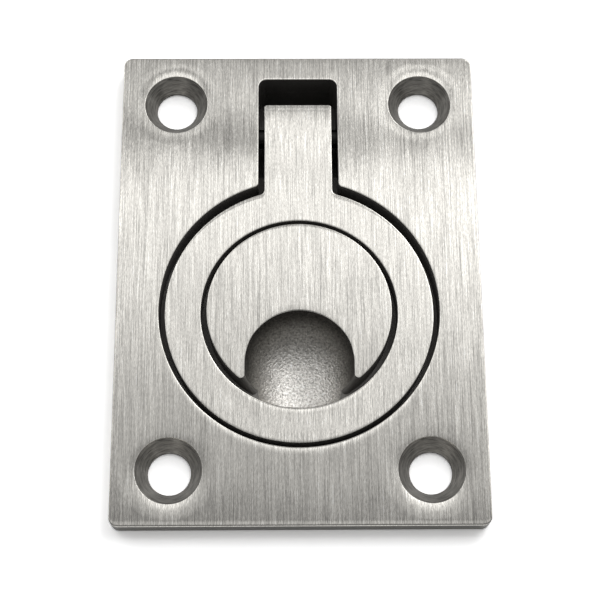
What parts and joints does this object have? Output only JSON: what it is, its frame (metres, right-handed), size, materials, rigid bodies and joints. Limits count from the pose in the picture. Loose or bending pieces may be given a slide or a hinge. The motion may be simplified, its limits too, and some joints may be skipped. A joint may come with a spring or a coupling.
{
  "type": "recessed pull handle",
  "caption": "Flush plate with a ring handle that lies in a keyhole recess and lifts about a cross pin, with a finger scoop and countersunk screw holes.",
  "frame": {"origin": "centre of the plate's back face, midway between the screw holes", "axes": "+Z out of the plate's face, +Y from the ring towards its pin, +X to the right as the face is seen"},
  "size_m": [0.055, 0.075, 0.0106],
  "materials": {
    "satin_steel": "satin, brushed along Y",
    "pin_steel": "turned, bright"
  },
  "bodies": {
    "base": {"base": "satin_steel", "pivot_pin": "pin_steel"},
    "ring": {"ring_handle": "satin_steel"}
  },
  "joints": [
    {"name": "ring_lift", "type": "hinge", "parent": "base", "child": "ring", "pos_m": [0, 0.0255, -0.00175], "axis": [-1, 0, 0], "range_deg": [0, 90]}
  ]
}
